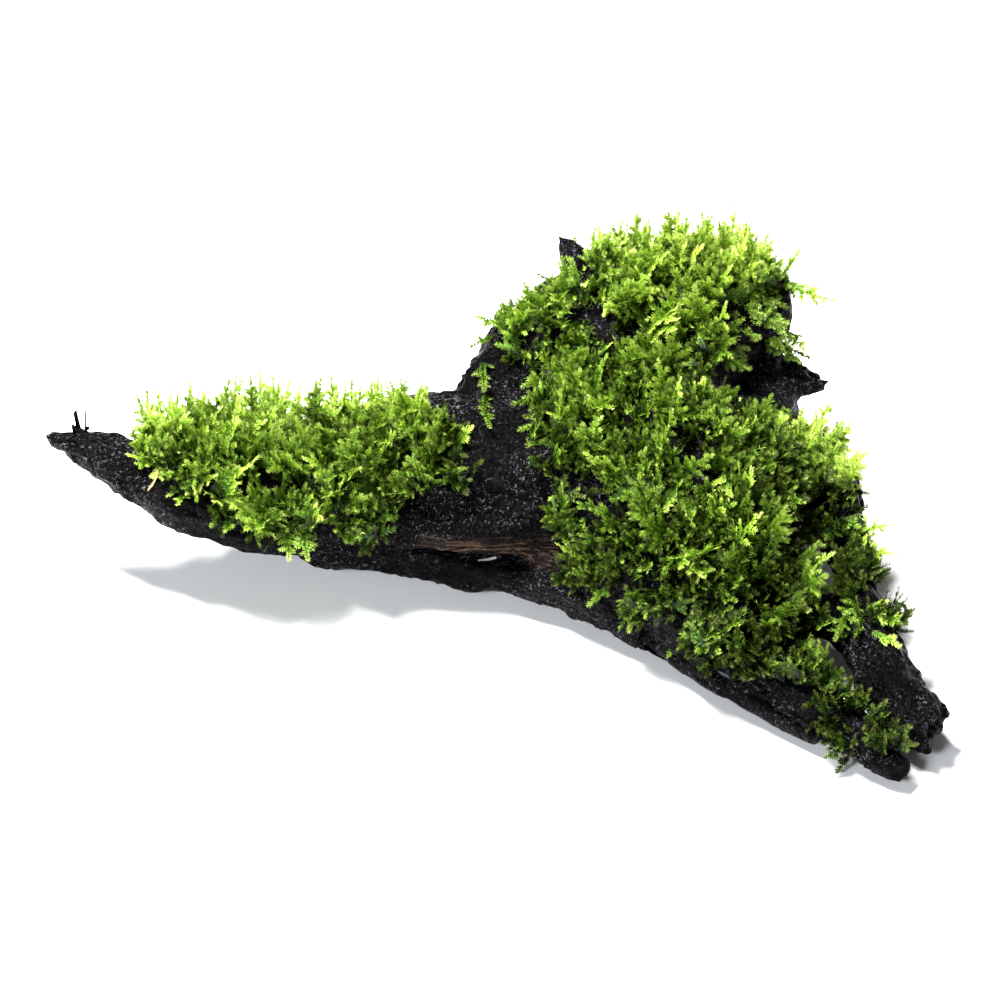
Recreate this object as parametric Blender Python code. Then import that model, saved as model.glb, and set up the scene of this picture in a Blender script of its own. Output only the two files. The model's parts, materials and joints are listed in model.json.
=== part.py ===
"""Christmas moss on a black driftwood root: a trunk with a leaning crown, one long arm to the left, two roots
and a split-off sliver at the front, and the moss cushions that grow over its top.

The numbers in this file are millimetres and the scene is in metres. +Z is up, and the root lies on Z = 0.
"""
import math
import random

import bpy
import bmesh
from mathutils import Matrix, Vector, noise
from mathutils.bvhtree import BVHTree

MM = 0.001
GAP = 0.3

WOOD_VOXEL = 2.0
WOOD_TRIANGLES = 2350
LUMP_HEIGHT = 1.1
LUMP_SPACING = 15.0
RIDGE_HEIGHT = 0.7

# No two faces of the wood meet at more than this turn.
SHARPEST = math.radians(100)

MOSS_CLEARANCE = 0.6
MOSS_VOXEL = 1.5
MOSS_TRIANGLES = 2850
TUFT_SPACING = 9.0
TUFT_LENGTH = 10.5

# Every station of a limb is x, y, z of its middle, then its half width and half height.
LEFT_ARM = (
    (24, -6, 24, 28, 22),
    (4, -9, 23, 27, 21),
    (-14, -9, 22, 27, 20),
    (-28, -8, 21, 26, 19.5),
    (-42, -11, 20, 22, 18),
    (-56, -14, 21, 20, 16),
    (-70, -17, 24, 17, 13.5),
    (-83, -20, 28, 13, 11),
    (-97, -19, 32, 9.5, 8),
    (-110, -15, 37, 7, 5.5),
    (-120, -13, 39.5, 4.2, 3.2),
    (-126, -12, 41, 2.4, 2.2),
)
SHOULDER = (
    (-52, -20, 10, 8, 6),
    (-28, -22, 10, 10, 8),
    (-10, -24, 10, 12, 10),
    (8, -25.5, 10, 14, 11),
    (24, -32, 10, 15, 12),
    (36, -40, 10, 15, 12),
    (46, -48.5, 9, 14, 11),
)
TRUNK = (
    (40, 34, 12, 26, 12),
    (40, 24, 18, 34, 20),
    (42, 10, 23, 38, 25),
    (44, -6, 25, 35, 27),
    (50, -28, 23, 33, 25),
    (56, -46, 18, 26, 20),
    (64, -61, 13, 17, 14),
    (71, -72, 10, 11, 10),
)
CROWN = (
    (46, 0, 22, 36, 22),
    (48, 14, 35, 36, 19),
    (50, 25, 46, 34, 15),
    (51, 33, 54, 32, 11),
    (52, 38, 59, 29, 7),
    (53, 41, 61, 24, 4),
)
RIGHT_COLUMN = (
    (62, 6, 32, 12, 10),
    (72, 18, 44, 9, 9),
    (75, 27, 53, 7.5, 7.5),
    (76, 33, 60, 6.5, 6.5),
    (76, 36, 63.5, 4.5, 4.5),
)
LEFT_RIDGE = (
    (22, 20, 22, 18, 14),
    (8, 20, 32, 14, 12),
    (0, 18, 38, 10, 8),
    (-7, 14, 40, 5, 4),
    (-11, 12, 40, 2.5, 2.5),
)
RIDGE_TOP = (
    (2, 18, 34, 12, 10),
    (9, 25, 44, 13, 9),
    (20, 31, 54, 12, 7),
    (32, 36, 58, 10, 5),
)
OUTER_ROOT = (
    (92, -20, 23, 6, 6.5),
    (92.5, -29, 19, 4.8, 5.8),
    (94.5, -37, 16, 4.2, 5.2),
    (97, -46, 15, 4.8, 5.2),
    (98, -56, 14, 6.5, 6),
    (99, -66, 13, 8.5, 7),
    (102, -79, 11, 8.5, 7.5),
    (107, -88, 9, 8, 7),
    (114, -95.5, 8, 7, 5.5),
)
INNER_ROOT = (
    (58, -56, 14, 16, 12),
    (69, -71, 10, 11, 9),
    (79, -83, 8.5, 7.2, 7),
    (89, -92.5, 7, 5.6, 6),
    (98.5, -102, 5.5, 4.8, 5),
    (105, -108.5, 5, 3.4, 3.4),
)
# The short root that ties the outer root to the trunk.
CROSS_ROOT = (
    (68, -50, 17, 8, 7),
    (84, -55, 14, 5.5, 5.5),
    (98, -60, 13, 6, 5.5),
)
SLIVER = (
    (41, -58, 6.5, 1.3, 1.3),
    (47, -62, 6.2, 3.6, 3.2),
    (57, -69.5, 5.6, 5.6, 4.2),
    (69, -79, 5, 5, 4),
    (77, -87, 4.4, 3.6, 2.8),
    (83, -94, 4.2, 1.2, 1.2),
)
SIDE_STUB = (
    (60, -2, 24, 16, 13),
    (78, -9, 26, 8.5, 9),
    (90, -17, 25, 6.8, 7),
    (98, -23.5, 24, 5.8, 6),
)
KNOB = (
    (66, 28, 34, 12, 10),
    (80, 23, 35, 7, 7),
    (89, 19, 36, 5, 5),
    (94, 17, 37, 2.5, 2.5),
)
HORN = (
    (36, 22, 52, 12, 8),
    (28, 26, 61, 7.5, 5),
    (21, 32, 70, 4.5, 3.5),
    (15, 36, 76.5, 2.6, 2.4),
    (11, 38, 80.5, 1.7, 1.7),
)
# The dark undercut along the front of the arm and the trunk.
GROOVE = (
    (-46, -40, 18, 2, 1.5),
    (-30, -33, 17, 6, 2.2),
    (-8, -34, 16, 7, 2.4),
    (12, -37, 15, 7, 2.4),
    (26, -44, 14, 5, 1.8),
    (34, -52, 14, 2, 1.2),
)
# The hollow on the crown's right flank, below its edge.
FLANK_HOLLOW = (
    (60, -10, 56, 5, 4),
    (72, 4, 50, 12, 8),
    (82, 14, 46, 11, 7),
    (94, 24, 44, 8, 6),
)
# The two splinters that stand near the arm's tip: foot, top, half width.
SPLINTERS = (
    ((-116.0, -11.5, 40.0), (-116.8, -10.2, 46.8), 0.9),
    ((-114.2, -12.0, 40.0), (-114.0, -10.6, 47.2), 0.45),
)
# A saw cut at each main fork: a point on it, the way it faces, its width, its height and how thick it is.
FORK_CUTS = (
    ((7, 0, 20), (1, 0, 0), 150, 150),
    ((67, 17, 40), (0, 0.7, 0.7), 120, 120),
    ((85.3, -39, 20), (1, 0, 0), 74, 74),
    ((76, -77, 8), (0.7, -0.7, 0), 28, 28),
    ((96, -87, 8), (0.8, 0.6, 0), 46, 46, 2.4),
)
# Each piece's name and about where its middle is.
WOOD_PIECES = (
    ("driftwood_left_arm", (-34, -11, 24)),
    ("driftwood_crown", (44, 28, 47)),
    ("driftwood_outer_root", (99, -55, 14)),
    ("driftwood_inner_root", (87, -88, 7)),
    ("driftwood_trunk", (58, -25, 18)),
)
# A patch of moss is x, y, radius, and how long it grows compared with the rest.
MOSS_PATCHES = (
    (-94, -15, 8, 1.2), (-82, -18, 12, 1.7), (-67, -20, 15, 2.2), (-50, -20, 17, 1.8), (-33, -18, 17, 1.5),
    (-68, -30, 9, 1.0), (-54, -35, 10, 1.2), (-40, -29, 10, 1.0), (-19, -16, 12, 1.0), (33, 40, 12, 1.3),
    (45, 42, 16, 1.5), (60, 42, 12, 1.5), (6, 30, 9, 1.0), (16, 24, 13, 1.0), (32, 18, 17, 1.0),
    (44, 14, 14, 1.0), (59, 27, 10, 1.0), (22, -4, 15, 0.9), (20, -18, 11, 0.9), (42, -8, 18, 1.0),
    (60, -14, 15, 1.0), (78, -10, 13, 1.1), (90, -15, 10, 1.2), (36, -26, 17, 0.9), (52, -32, 18, 1.0),
    (70, -30, 16, 1.1), (23, -37, 9, 0.8), (26, -47, 8, 0.8), (34, -44, 11, 0.8), (50, -48, 15, 0.9),
    (66, -50, 16, 1.0), (77, -54, 12, 1.2), (41, -55, 10, 0.8), (54, -66, 10, 0.8), (66, -66, 12, 0.9),
    (77, -66, 9, 1.2), (65, -75, 9, 0.8), (74, -83, 9, 0.8), (82, -91, 8, 0.8), (89, -99, 7, 0.8),
    (95, -107, 6, 0.7), (92, -34, 6, 0.9), (95, -46, 7, 0.9), (96, -58, 9, 0.9), (98, -68, 8, 0.8),
    (68, 43, 9, 1.5), (27, -53, 8, 0.8), (37, -61, 8, 0.8), (50, -71, 8, 0.8), (60, -78, 7, 0.8),
)
MOSS_CUTS = (
    ((48, 10, 50), (0, 0.9, 0.35), 160, 160),
    ((66, -36, 20), (0.25, -1, 0.2), 96, 84),
    ((85.5, -51, 20), (1, 0, 0), 52, 60),
    ((96, -87, 14), (0.8, 0.6, 0), 46, 60, 1.6),
)
MOSS_PIECES = (
    ("moss_left_arm", (-55, -20, 42)),
    ("moss_crown", (38, 26, 62)),
    ("moss_trunk", (48, -14, 46)),
    ("moss_outer_root", (94, -50, 24)),
    ("moss_inner_root", (64, -62, 26)),
)


def clear_scene():
    for obj in list(bpy.data.objects):
        bpy.data.objects.remove(obj)


def between(stations, steps):
    """The stations with steps - 1 more between each two, on a smooth curve through them."""
    rows = []
    last = len(stations) - 1
    for i in range(last):
        before, here = stations[max(i - 1, 0)], stations[i]
        there, beyond = stations[i + 1], stations[min(i + 2, last)]
        for k in range(steps):
            t = k / steps
            row = []
            for a, b, c, d in zip(before, here, there, beyond):
                bend = (2 * a - 5 * b + 4 * c - d) * t * t + (3 * b - a - 3 * c + d) * t ** 3
                row.append(b + 0.5 * ((c - a) * t + bend))
            rows.append(row)
    rows.append(list(stations[last]))
    return rows


def add_limb(mesh, stations, sides=24, steps=3, ridges=0.16, grow=0.0, seed=0.0):
    """Adds a closed tube through the stations to the mesh, with ridges that run along it."""
    rows = between(stations, steps)
    rings = []
    run = 0.0
    for i, (x, y, z, wide, high) in enumerate(rows):
        here = Vector((x, y, z))
        back = Vector(rows[max(i - 1, 0)][:3])
        on = Vector(rows[min(i + 1, len(rows) - 1)][:3])
        run += (here - back).length
        along = (on - back).normalized()
        across = along.cross(Vector((0, 0, 1))).normalized()
        up = across.cross(along)
        ring = []
        for k in range(sides):
            turn = 2 * math.pi * k / sides
            spot = Vector((1.8 * math.cos(turn), 1.8 * math.sin(turn), run / 45 + seed))
            swell = 1 + ridges * (noise.noise(spot) + 0.7 * noise.noise(spot * 2.4))
            side = across * ((wide * swell + grow) * math.cos(turn))
            rise = up * ((high * swell + grow) * math.sin(turn))
            ring.append(mesh.verts.new((here + side + rise) * MM))
        rings.append(ring)
    for one, two in zip(rings, rings[1:]):
        for k in range(sides):
            n = (k + 1) % sides
            mesh.faces.new((one[k], one[n], two[n], two[k]))
    mesh.faces.new(list(reversed(rings[0])))
    mesh.faces.new(rings[-1])
    bmesh.ops.recalc_face_normals(mesh, faces=mesh.faces)


def to_object(name, mesh):
    data = bpy.data.meshes.new(name)
    mesh.to_mesh(data)
    mesh.free()
    obj = bpy.data.objects.new(name, data)
    bpy.context.scene.collection.objects.link(obj)
    return obj


def discard(obj):
    data = obj.data
    bpy.data.objects.remove(obj)
    bpy.data.meshes.remove(data)


def settle(obj):
    """Replaces the object's mesh with what its modifiers make of it."""
    bpy.context.view_layer.update()
    graph = bpy.context.evaluated_depsgraph_get()
    new = bpy.data.meshes.new_from_object(obj.evaluated_get(graph))
    obj.modifiers.clear()
    old = obj.data
    obj.data = new
    bpy.data.meshes.remove(old)


def fuse(obj, voxel):
    """Melts everything in the object into one closed skin."""
    skin = obj.modifiers.new("skin", "REMESH")
    skin.mode = "VOXEL"
    skin.voxel_size = voxel * MM
    soft = obj.modifiers.new("soft", "SMOOTH")
    soft.factor = 0.5
    soft.iterations = 2
    settle(obj)


def thin_out(obj, triangles):
    """Lowers the object's face count to about the given number of triangles."""
    now = sum(len(face.vertices) - 2 for face in obj.data.polygons)
    fewer = obj.modifiers.new("fewer", "DECIMATE")
    fewer.ratio = min(1.0, triangles / now)
    settle(obj)


def ease(mesh, verts, factor):
    """Moves the corners towards the middle of their neighbours."""
    axes = {"use_axis_x": True, "use_axis_y": True, "use_axis_z": True}
    bmesh.ops.smooth_vert(mesh, verts=list(verts), factor=factor, **axes)


def untangle(obj):
    """Smooths the places where the skin passes through itself, until none does."""
    mesh = bmesh.new()
    mesh.from_mesh(obj.data)
    bmesh.ops.triangulate(mesh, faces=mesh.faces)
    for turn in range(40):
        mesh.faces.ensure_lookup_table()
        tree = BVHTree.FromBMesh(mesh)
        knots = set()
        for one, two in tree.overlap(tree):
            first, second = mesh.faces[one], mesh.faces[two]
            if one != two and not set(first.verts) & set(second.verts):
                knots.update(first.verts)
                knots.update(second.verts)
        if not knots:
            break
        ease(mesh, knots, 0.4)
    mesh.to_mesh(obj.data)
    mesh.free()


def soften_creases(obj):
    """Smooths the corners where two faces fold back on each other."""
    mesh = bmesh.new()
    mesh.from_mesh(obj.data)
    for turn in range(6):
        sharp = set()
        for edge in mesh.edges:
            if len(edge.link_faces) == 2 and edge.calc_face_angle(0) > SHARPEST:
                sharp.update(edge.verts)
        ease(mesh, sharp, 0.3)
    mesh.to_mesh(obj.data)
    mesh.free()


def carve(obj, cutter, operation="DIFFERENCE"):
    """Cuts the cutter's volume out of the object, or joins it, and discards the cutter."""
    cut = obj.modifiers.new("cut", "BOOLEAN")
    cut.operation = operation
    cut.solver = "EXACT"
    cut.object = cutter
    settle(obj)
    discard(cutter)


def slab(point, facing, width, height, thick=GAP):
    """A thin plate, its middle at the point and its thin way along facing."""
    mesh = bmesh.new()
    bmesh.ops.create_cube(mesh, size=1.0)
    bmesh.ops.scale(mesh, vec=Vector((width, height, thick)) * MM, verts=mesh.verts)
    turn = Vector(facing).to_track_quat("Z", "Y").to_matrix().to_4x4()
    bmesh.ops.transform(mesh, matrix=Matrix.Translation(Vector(point) * MM) @ turn, verts=mesh.verts)
    return to_object("slab", mesh)


def ground():
    """Everything below Z = 0."""
    return slab((0, 0, -50), (0, 0, 1), 400, 400, 100)


def tubes(name, *limbs, **options):
    mesh = bmesh.new()
    for number, stations in enumerate(limbs):
        add_limb(mesh, stations, seed=number * 7.3, **options)
    return to_object(name, mesh)


def roughen(obj):
    """Raises lumps and long wrinkles on the wood."""
    mesh = bmesh.new()
    mesh.from_mesh(obj.data)
    mesh.normal_update()
    moves = []
    for vert in mesh.verts:
        spot = vert.co / MM
        lump = noise.noise(spot / LUMP_SPACING) + 0.5 * noise.noise(spot / (0.45 * LUMP_SPACING))
        wrinkle = abs(noise.noise(Vector((spot.x / 22, spot.y / 6, spot.z / 5))))
        moves.append(vert.normal * (LUMP_HEIGHT * lump - RIDGE_HEIGHT * (1 - 2.4 * wrinkle)) * MM)
    for vert, move in zip(mesh.verts, moves):
        vert.co += move
    mesh.to_mesh(obj.data)
    mesh.free()


def add_splinter(mesh, foot, top, half):
    foot, top = Vector(foot) * MM, Vector(top) * MM
    rise = top - foot
    made = bmesh.ops.create_cone(mesh, cap_ends=True, segments=5, radius1=half * MM, radius2=0.45 * half * MM,
                                 depth=rise.length)
    turn = rise.to_track_quat("Z", "Y").to_matrix().to_4x4()
    bmesh.ops.transform(mesh, matrix=Matrix.Translation((foot + top) / 2) @ turn, verts=made["verts"])


def splinters():
    mesh = bmesh.new()
    for foot, top, half in SPLINTERS:
        add_splinter(mesh, foot, top, half)
    return to_object("splinters", mesh)


def grown_skin(obj, amount):
    """A copy of the object with its skin moved outward by the amount."""
    mesh = bmesh.new()
    mesh.from_mesh(obj.data)
    mesh.normal_update()
    for vert, normal in [(vert, vert.normal.copy()) for vert in mesh.verts]:
        vert.co += normal * amount * MM
    return to_object("skin", mesh)


def split(obj):
    """Every separate body of the object as an object of its own, and the object is discarded."""
    mesh = bmesh.new()
    mesh.from_mesh(obj.data)
    bmesh.ops.triangulate(mesh, faces=mesh.faces)
    bmesh.ops.remove_doubles(mesh, verts=mesh.verts, dist=0.002 * MM)
    bmesh.ops.dissolve_degenerate(mesh, edges=mesh.edges, dist=0.002 * MM)
    mesh.verts.index_update()
    body_of = [-1] * len(mesh.verts)
    count = 0
    for start in mesh.verts:
        if body_of[start.index] >= 0:
            continue
        body_of[start.index] = count
        front = [start]
        while front:
            for link in front.pop().link_edges:
                for vert in link.verts:
                    if body_of[vert.index] < 0:
                        body_of[vert.index] = count
                        front.append(vert)
        count += 1
    made = []
    for number in range(count):
        one = mesh.copy()
        others = [vert for vert in one.verts if body_of[vert.index] != number]
        bmesh.ops.delete(one, geom=others, context="VERTS")
        made.append((abs(one.calc_volume()), to_object("body", one)))
    mesh.free()
    discard(obj)
    return made


def middle(obj):
    """The mean of the object's corner points."""
    return sum((vert.co for vert in obj.data.vertices), Vector()) / len(obj.data.vertices)


def name_bodies(bodies, pieces, smallest):
    """Gives each name the body whose middle is nearest to the name's point, and drops crumbs."""
    rest = [body for volume, body in bodies if volume > smallest * MM ** 3]
    crumbs = [body for volume, body in bodies if volume <= smallest * MM ** 3]
    named = {}
    for name, point in pieces:
        body = min(rest, key=lambda one: (middle(one) - Vector(point) * MM).length)
        rest.remove(body)
        body.name = name
        body.data.name = name
        named[name] = body
    for body in rest + crumbs:
        discard(body)
    return named


def wood():
    """The root, sawn at its forks, with room for its sliver, and the same root left whole."""
    root = tubes("root", LEFT_ARM, SHOULDER, TRUNK, CROWN, LEFT_RIDGE, RIDGE_TOP, OUTER_ROOT, INNER_ROOT,
                 SIDE_STUB, KNOB, HORN, RIGHT_COLUMN, CROSS_ROOT)
    fuse(root, WOOD_VOXEL)
    carve(root, tubes("groove", GROOVE))
    carve(root, tubes("hollow", FLANK_HOLLOW))
    fuse(root, WOOD_VOXEL)
    roughen(root)
    thin_out(root, WOOD_TRIANGLES)
    untangle(root)
    soften_creases(root)
    whole = tubes("whole")
    whole.data = root.data.copy()
    for cut in FORK_CUTS:
        carve(root, slab(*cut))
    carve(root, ground())
    carve(root, tubes("room", SLIVER, sides=10, steps=2, grow=GAP))
    carve(root, splinters(), "UNION")
    return root, whole


def sliver():
    strip = tubes("strip", SLIVER, sides=10, steps=2)
    carve(strip, ground())
    return split(strip)[0][1]


def add_tuft(mesh, foot, way, length, wide):
    """Adds one pointed tuft of moss, leaning the given way."""
    made = bmesh.ops.create_cone(mesh, cap_ends=True, segments=7, radius1=wide * MM, radius2=0.22 * wide * MM,
                                 depth=length * MM)
    turn = way.to_track_quat("Z", "Y").to_matrix().to_4x4()
    middle = foot + way * (0.5 * length - 2) * MM
    bmesh.ops.transform(mesh, matrix=Matrix.Translation(middle) @ turn, verts=made["verts"])


def moss(root):
    """The cushions of moss, fused out of tufts that stand on the wood inside the patches."""
    corners = [vert.co for vert in root.data.vertices]
    tree = BVHTree.FromPolygons(corners, [list(face.vertices) for face in root.data.polygons])
    dice = random.Random(10)
    mesh = bmesh.new()
    look = Vector((0, 0.42, -1)).normalized()
    for x, y, radius, thick in MOSS_PATCHES:
        count = max(3, round((2 * radius / TUFT_SPACING) ** 2))
        for number in range(count):
            reach = radius * math.sqrt((number + 0.5) / count)
            turn = number * 2.39996 + x
            aim = Vector((x + reach * math.cos(turn), y + reach * math.sin(turn), 30))
            spot, normal, index, away = tree.ray_cast((aim - look * 150) * MM, look)
            if spot is None or normal.z < -0.2:
                continue
            way = normal * 0.9 + Vector((0, -0.1, 0.55))
            way += Vector((dice.uniform(-0.4, 0.4), dice.uniform(-0.4, 0.4), dice.uniform(-0.2, 0.3)))
            length = TUFT_LENGTH * thick * dice.uniform(0.75, 1.25)
            add_tuft(mesh, spot, way.normalized(), length + 2, dice.uniform(4.4, 5.6))
    cushion = to_object("cushion", mesh)
    fuse(cushion, MOSS_VOXEL)
    thin_out(cushion, MOSS_TRIANGLES)
    untangle(cushion)
    bark = grown_skin(root, MOSS_CLEARANCE)
    untangle(bark)
    carve(cushion, bark)
    return cushion


def paint(obj, name, colour, roughness):
    stuff = bpy.data.materials.get(name) or bpy.data.materials.new(name)
    stuff.use_nodes = True
    shader = stuff.node_tree.nodes["Principled BSDF"]
    shader.inputs["Base Color"].default_value = (*colour, 1.0)
    shader.inputs["Roughness"].default_value = roughness
    shader.inputs["Metallic"].default_value = 0.0
    obj.data.materials.clear()
    obj.data.materials.append(stuff)


def stand_on_origin(parts):
    """Moves the parts together, so that the origin is the middle of their footprint."""
    points = [vert.co for obj in parts for vert in obj.data.vertices]
    middle_x = (min(p.x for p in points) + max(p.x for p in points)) / 2
    middle_y = (min(p.y for p in points) + max(p.y for p in points)) / 2
    lowest = min(p.z for p in points)
    for obj in parts:
        obj.data.transform(Matrix.Translation((-middle_x, -middle_y, -lowest)))


def main():
    clear_scene()
    root, whole = wood()
    cushion = moss(whole)
    discard(whole)
    for cut in MOSS_CUTS:
        carve(cushion, slab(*cut))
    logs = name_bodies(split(root), WOOD_PIECES, 50)
    logs["driftwood_front_sliver"] = sliver()
    logs["driftwood_front_sliver"].name = "driftwood_front_sliver"
    greens = name_bodies(split(cushion), MOSS_PIECES, 50)
    for name, obj in logs.items():
        paint(obj, name.replace("driftwood", "wet_wood"), (0.022, 0.018, 0.016), 0.35)
    for name, obj in greens.items():
        paint(obj, name.replace("moss", "green"), (0.16, 0.36, 0.03), 0.6)
    stand_on_origin(list(logs.values()) + list(greens.values()))


main()
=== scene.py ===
"""Christmas moss on a black driftwood root, lying on a pale floor under a soft studio light.

The wood is one fine skin grown over the CAD pieces and cut back into them. The moss is leafy shoots that
grow out of the wood as far as the CAD cushions reach. Lengths in this file are millimetres, turned into
metres by MM. The scales of the noise nodes are for each metre.
"""
import json
import math
import random

import bmesh
import bpy
import numpy as np
from mathutils import Matrix, Vector
from mathutils.bvhtree import BVHTree

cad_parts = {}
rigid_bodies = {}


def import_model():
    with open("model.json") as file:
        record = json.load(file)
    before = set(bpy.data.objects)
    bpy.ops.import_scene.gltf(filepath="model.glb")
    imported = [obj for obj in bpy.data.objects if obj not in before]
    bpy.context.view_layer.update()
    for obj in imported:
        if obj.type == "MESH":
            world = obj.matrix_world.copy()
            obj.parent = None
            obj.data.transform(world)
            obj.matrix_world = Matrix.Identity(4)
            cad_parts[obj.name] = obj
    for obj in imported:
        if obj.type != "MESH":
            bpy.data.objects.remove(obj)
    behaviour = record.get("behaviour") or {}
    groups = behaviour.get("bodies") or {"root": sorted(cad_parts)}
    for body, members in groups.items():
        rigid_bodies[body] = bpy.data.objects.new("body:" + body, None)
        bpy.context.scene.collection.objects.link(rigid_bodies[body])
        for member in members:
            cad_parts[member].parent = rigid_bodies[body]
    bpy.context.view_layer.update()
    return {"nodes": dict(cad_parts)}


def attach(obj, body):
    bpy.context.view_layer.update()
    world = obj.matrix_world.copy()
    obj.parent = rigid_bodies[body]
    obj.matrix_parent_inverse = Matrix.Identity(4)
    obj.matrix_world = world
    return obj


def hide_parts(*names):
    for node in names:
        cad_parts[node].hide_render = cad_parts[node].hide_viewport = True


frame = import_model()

MM = 0.001

WOOD_NODES = (
    "driftwood_trunk",
    "driftwood_left_arm",
    "driftwood_crown",
    "driftwood_outer_root",
    "driftwood_inner_root",
    "driftwood_front_sliver",
)
MOSS_NODES = ("moss_left_arm", "moss_crown", "moss_trunk", "moss_outer_root", "moss_inner_root")

# The wood's skin: how fine it is, how far it stands over the CAD pieces, and how often it is smoothed.
SKIN_VOXEL = 0.62
SKIN_SWELL = 0.25
SKIN_SMOOTHING = 5
SLIVER_VOXEL = 0.5
SLIVER_SMOOTHING = 2
# How high the wood's lumps, wrinkles and pebbles stand, how deep its cracks are, and how much of all this
# the split-off strip has.
LUMP = 0.65
WRINKLE = 1.1
FINE_WRINKLE = 0.75
PEBBLE = 0.28
CRACK = 1.5
SLIVER_GRAIN = 0.45
# The way the grain runs on the arm, the trunk and the crown.
ARM_GRAIN = (1, -0.05, -0.12)
TRUNK_GRAIN = (0.42, -0.88, -0.2)
CROWN_GRAIN = (0.05, 0.7, 0.7)
# Where the split-off strip lies, the gap that shows round it, and the line along its rim where a pale
# highlight is painted into the wood's colour.
SLIVER_BOX = ((40.0, -68.0), (91.0, -23.0))
SLIVER_GAP = 2.4
SLIVER_RIM_HIGHLIGHT = ((50.0, -36.0, 10.3), (67.5, -49.5, 10.9))
# Broken ends of the wood: where each is, the way its splinters run, how far it reaches, and how far they
# stand out.
BROKEN_ENDS = (
    ((118.5, -66.5, 8.0), (0.5, -0.84, -0.1), 9.0, 4.2),
    ((108.5, -78.5, 5.0), (0.7, -0.7, -0.1), 7.0, 2.2),
    ((101.0, 7.0, 24.0), (0.8, -0.6, 0.0), 8.0, 2.4),
    ((-120.0, 19.5, 41.5), (-1.0, -0.2, 0.2), 8.0, 2.0),
    ((95.0, 50.5, 37.0), (0.9, -0.2, 0.1), 7.0, 3.6),
    ((80.0, 66.0, 64.0), (0.3, 0.3, 0.9), 10.0, 1.0),
)

# The slim horn: where it is, how far it reaches, and how much slimmer its skin is than the CAD piece.
HORN = (15.5, 67.0, 77.0)
HORN_REACH = 13.0
HORN_SLIMMER = 0.5
HORN_SMOOTHER = 0.75
# The jagged knob: where it is, how far it reaches, and how high its own lumps stand.
KNOB = (91.0, 50.0, 39.0)
KNOB_REACH = 10.0
KNOB_LUMP = 2.8

# The skin ends at this height left of this place, where the thin splinters are made on their own.
SPLINTER_X = -108.5
SPLINTER_Z = 42.6
# Foot, top, half width and half thickness of each splinter at the arm's tip.
SPLINTERS = (
    ((-112.4, 18.6, 40.5), (-113.4, 20.0, 47.6), 0.62, 0.35),
    ((-110.8, 18.2, 40.5), (-110.4, 19.6, 48.2), 0.26, 0.22),
    ((-113.6, 17.8, 40.5), (-114.2, 18.4, 44.2), 0.45, 0.30),
)
# A dry straw that lies on the arm, and the paler marks on the wood's front, each from one place to another.
STRAW = ((-92.4, 0.8, 35.4), (-89.6, 4.2, 39.6))
STRAW_HALF = 0.28
LEDGE = ((-14.0, -6.0, 20.5), (17.0, -7.0, 20.0))
SCRAPE = ((-2.2, -3.2, 13.2), (3.0, -2.2, 13.6))

# Moss leaves, how far apart they and the twigs stand along a stem, how far a twig may reach, and past which
# reach it forks.
LEAF_LENGTH = 1.45
LEAF_WIDTH = 0.68
LEAF_STEP = 0.5
TWIG_STEP = 1.75
TWIG_REACH = 5.5
FORK_REACH = 4.2
# How far a leaf's tone follows its shoot and how far it is its own.
SHADE_SHARE = 0.62
LEAF_SHARE = 0.38
# The sample shoots, the lengths past which a longer sample is taken, the length that the shortest stands
# for and how much each longer one adds to it, and how far a sample may be scaled.
SHOOT_LENGTHS = (5.0, 7.5, 10.5, 14.0)
SHOOTS_OF_EACH = 4
LONGER_PAST = (6.2, 9.0, 12.3)
SAMPLE_LENGTH = 4.8
SAMPLE_STEP = 3.05
SAMPLE_SCALES = (0.75, 1.2)
# Shoots stand this far apart on the cushion's side that lies this near the wood. There are at most so many
# for each square metre. Where the thicket noise is low they are thinned to the least share.
SHOOT_SPACING = 1.02
UNDERSIDE_REACH = 1.6
SHOOTS_PER_SQUARE_METRE = 9e5
THICKET_EDGES = (0.42, 0.54)
THINNEST_SHARE = 0.05
# The way a shoot grows: how much of it is straight out of the wood, the way down, how much it may sag that
# way, and how far it may stray. Then how far it may turn about itself, in radians.
OUTWARD_SHARE = 0.9
DOWNHILL = (0.0, -0.25, -1.0)
GREATEST_SAG = 0.6
STRAY = ((-0.7, -0.6, -0.35), (0.7, 0.6, 0.75))
GREATEST_TURN = 0.9
# A shoot looks this far for the cushion's outer skin. The room to there is filled by a share that grows
# with how steeply the shoot rises, times one that grows with its vigour.
ROOM_REACH = 30.0
ROOM_FILLED = 0.95
ROOM_FILLED_RISING = 0.65
WEAK_SHARE = 0.36
VIGOUR_SHARE = 0.85
# The least length of a shoot, what rising adds to it, the greatest length, and what falling takes from it.
LEAST_LENGTH = (2.4, 6.0)
LEAST_RISING = 3.0
GREATEST_LENGTH = 17.0
GREATEST_FALLING = 14.0
# The noise nodes that thin the shoots and that make patches and tufts of tone.
THICKET_SCALE = 120.0
PATCH_SCALE = 75.0
TUFT_SCALE = 190.0
# A shoot's tone, from 0 for dark to 1 for bright: a number of its own, and how much its length, vigour,
# patch, tuft, height and place to the left add to it. Height and place are painted light and shade: higher
# moss and moss to the left are made brighter, lower moss and moss to the right darker, as if lit from above
# and the left. Length and vigour make short weak shoots darker, partly as older moss and partly as painted
# shade under the longer shoots. Height and place count in metres from a middle and a start, and the place
# takes no more than the last number away.
OWN_TONE = (-0.68, -0.3)
LENGTH_TONE_AND_SHADE = 0.02
VIGOUR_TONE_AND_SHADE = 0.72
PATCH_TONE = 0.7
TUFT_TONE = 1.5
TUFT_MIDDLE = 0.52
HEIGHT_PAINTED_LIGHT = 13.0
HEIGHT_MIDDLE = 38.0
LEFT_PAINTED_LIGHT = 4.5
LEFT_START = -60.0
RIGHT_PAINTED_SHADE = -0.20
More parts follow.
